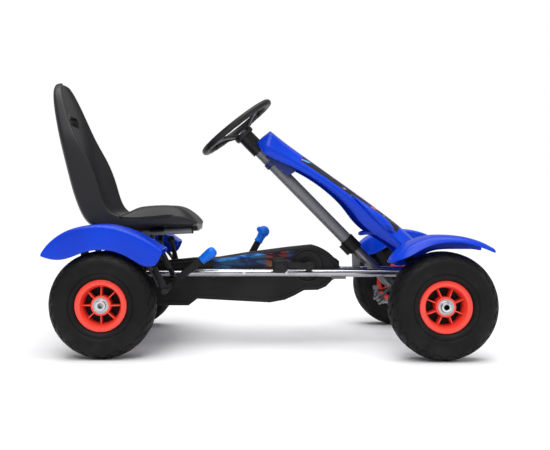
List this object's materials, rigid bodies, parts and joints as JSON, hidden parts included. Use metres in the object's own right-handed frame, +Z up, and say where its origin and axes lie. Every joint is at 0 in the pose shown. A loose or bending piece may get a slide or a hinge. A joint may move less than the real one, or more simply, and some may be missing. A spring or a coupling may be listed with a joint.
{
  "type": "pedal go kart",
  "caption": "Four-wheeled pedal go kart with a bucket seat on rails, chain drive, column steering, blue bodywork, brake and coasting levers.",
  "frame": {"origin": "on the floor, under the middle of the kart's length and width", "axes": "+X forwards along the kart, +Y to the rider's left, +Z up"},
  "size_m": [1.121, 0.619, 0.7066],
  "materials": {
    "chrome": "polished chrome plating",
    "column_steel": "dark gunmetal gloss",
    "black_steel": "satin black powder coat",
    "zinc": "bright zinc plating",
    "bronze": "sintered bronze",
    "blue_plastic": "gloss blow-moulded blue plastic",
    "blue_grip": "soft-gloss light blue plastic",
    "blue_bracket": "dark blue moulded plastic",
    "cover_plastic": "black moulded plastic with a fine grain",
    "seat_plastic": "charcoal blow-moulded plastic with a satin grain",
    "rim_red": "gloss red nylon",
    "tyre_rubber": "matt black rubber",
    "wheel_plastic": "black soft-touch plastic",
    "pedal_plastic": "black ribbed plastic",
    "chain_steel": "oiled steel"
  },
  "bodies": {
    "frame": {"frame_rail_right": "chrome", "frame_rail_left": "chrome", "frame_crossmembers": "black_steel", "front_beam": "black_steel", "bearing_hangers": "black_steel", "column_lower_tube": "chrome", "column_upper_tube": "column_steel", "column_clamp": "black_steel", "bushes": "bronze", "axle_bearings": "zinc", "nose_fairing": "blue_plastic", "fairing_bracket": "blue_bracket", "rear_fender_right": "blue_plastic", "rear_fender_left": "blue_plastic", "fender_stays": "black_steel", "seat_rail_right": "zinc", "seat_rail_left": "zinc", "seat_supports": "black_steel", "tube_caps": "cover_plastic", "frame_bolts": "zinc", "chain_cover_right": "cover_plastic", "chain_cover_left": "cover_plastic", "drive_chain": "chain_steel", "brake_spring": "zinc"},
    "seat": {"seat_shell": "seat_plastic", "seat_sliders": "zinc"},
    "crank": {"crank_axle": "zinc", "chainring": "chain_steel", "crank_arm_right": "black_steel", "crank_arm_left": "black_steel"},
    "pedal_right": {"pedal_right": "pedal_plastic"},
    "pedal_left": {"pedal_left": "pedal_plastic"},
    "rear_axle": {"rear_axle": "zinc", "rear_sprocket": "chain_steel", "rear_axle_nuts": "zinc", "rim_rear_left": "rim_red", "tyre_rear_left": "tyre_rubber", "hub_rear_left": "zinc"},
    "wheel_rear_right": {"rim_rear_right": "rim_red", "tyre_rear_right": "tyre_rubber", "hub_rear_right": "zinc"},
    "knuckle_right": {"knuckle_right": "zinc", "front_fender_right": "blue_plastic"},
    "knuckle_left": {"knuckle_left": "zinc", "front_fender_left": "blue_plastic"},
    "wheel_front_right": {"rim_front_right": "rim_red", "tyre_front_right": "tyre_rubber", "hub_front_right": "zinc"},
    "wheel_front_left": {"rim_front_left": "rim_red", "tyre_front_left": "tyre_rubber", "hub_front_left": "zinc"},
    "tie_rod_right": {"tie_rod_right": "zinc"},
    "tie_rod_left": {"tie_rod_left": "zinc"},
    "steering": {"steering_wheel": "wheel_plastic", "steering_boss": "black_steel", "steering_shaft": "zinc"},
    "brake": {"brake_lever": "black_steel", "brake_grip": "blue_grip"},
    "coast": {"coast_lever": "black_steel", "coast_knob": "blue_grip"}
  },
  "joints": [
    {"name": "seat_slide", "type": "slide", "parent": "frame", "child": "seat", "axis": [0.9986, 0, 0.0523], "range_m": [-0.04, 0.06]},
    {"name": "rear_axle_spin", "type": "hinge", "parent": "frame", "child": "rear_axle", "pos_m": [-0.3875, 0, 0.13], "axis": [0, 1, 0], "continuous": true},
    {"name": "crank_spin", "type": "hinge", "parent": "frame", "child": "crank", "pos_m": [0.1295, 0, 0.207], "axis": [0, 1, 0], "continuous": true},
    {"name": "pedal_right_spin", "type": "hinge", "parent": "crank", "child": "pedal_right", "pos_m": [0.04786, -0.11, 0.21472], "axis": [0, 1, 0], "continuous": true},
    {"name": "pedal_left_spin", "type": "hinge", "parent": "crank", "child": "pedal_left", "pos_m": [0.21114, 0.11, 0.19928], "axis": [0, 1, 0], "continuous": true},
    {"name": "rear_right_wheel_spin", "type": "hinge", "parent": "rear_axle", "child": "wheel_rear_right", "pos_m": [-0.3875, -0.242, 0.13], "axis": [0, 1, 0], "continuous": true},
    {"name": "steering_turn", "type": "hinge", "parent": "frame", "child": "steering", "pos_m": [-0.0649, 0, 0.58669], "axis": [-0.7009, 0, 0.7132], "range_deg": [-32, 32]},
    {"name": "knuckle_right_turn", "type": "hinge", "parent": "frame", "child": "knuckle_right", "pos_m": [0.4305, -0.195, 0.13], "axis": [0, 0, 1], "range_deg": [-22, 22]},
    {"name": "knuckle_left_turn", "type": "hinge", "parent": "frame", "child": "knuckle_left", "pos_m": [0.4305, 0.195, 0.13], "axis": [0, 0, 1], "range_deg": [-22, 22]},
    {"name": "front_right_wheel_spin", "type": "hinge", "parent": "knuckle_right", "child": "wheel_front_right", "pos_m": [0.4305, -0.267, 0.13], "axis": [0, 1, 0], "continuous": true},
    {"name": "front_left_wheel_spin", "type": "hinge", "parent": "knuckle_left", "child": "wheel_front_left", "pos_m": [0.4305, 0.267, 0.13], "axis": [0, 1, 0], "continuous": true},
    {"name": "tie_rod_right_turn", "type": "hinge", "parent": "knuckle_right", "child": "tie_rod_right", "pos_m": [0.3575, -0.195, 0.113], "axis": [0, 0, 1], "range_deg": [-22, 22]},
    {"name": "tie_rod_left_turn", "type": "hinge", "parent": "knuckle_left", "child": "tie_rod_left", "pos_m": [0.3575, 0.195, 0.113], "axis": [0, 0, 1], "range_deg": [-22, 22]},
    {"name": "brake_pull", "type": "hinge", "parent": "frame", "child": "brake", "pos_m": [-0.2365, 0, 0.163], "axis": [0, -1, 0], "range_deg": [0, 6.9], "stiffness_Nm_per_rad": 3, "springref_deg": -5.73},
    {"name": "coast_tilt", "type": "hinge", "parent": "frame", "child": "coast", "pos_m": [-0.0615, 0.075, 0.163], "axis": [0, -1, 0], "range_deg": [0, 18]}
  ],
  "couplings": [
    {"joint": "crank_spin", "follows": "rear_axle_spin", "ratio": 0.6},
    {"joint": "knuckle_right_turn", "follows": "steering_turn", "ratio": 0.6651},
    {"joint": "knuckle_left_turn", "follows": "steering_turn", "ratio": 0.6651},
    {"joint": "tie_rod_right_turn", "follows": "steering_turn", "ratio": -0.6651},
    {"joint": "tie_rod_left_turn", "follows": "steering_turn", "ratio": -0.6651}
  ]
}
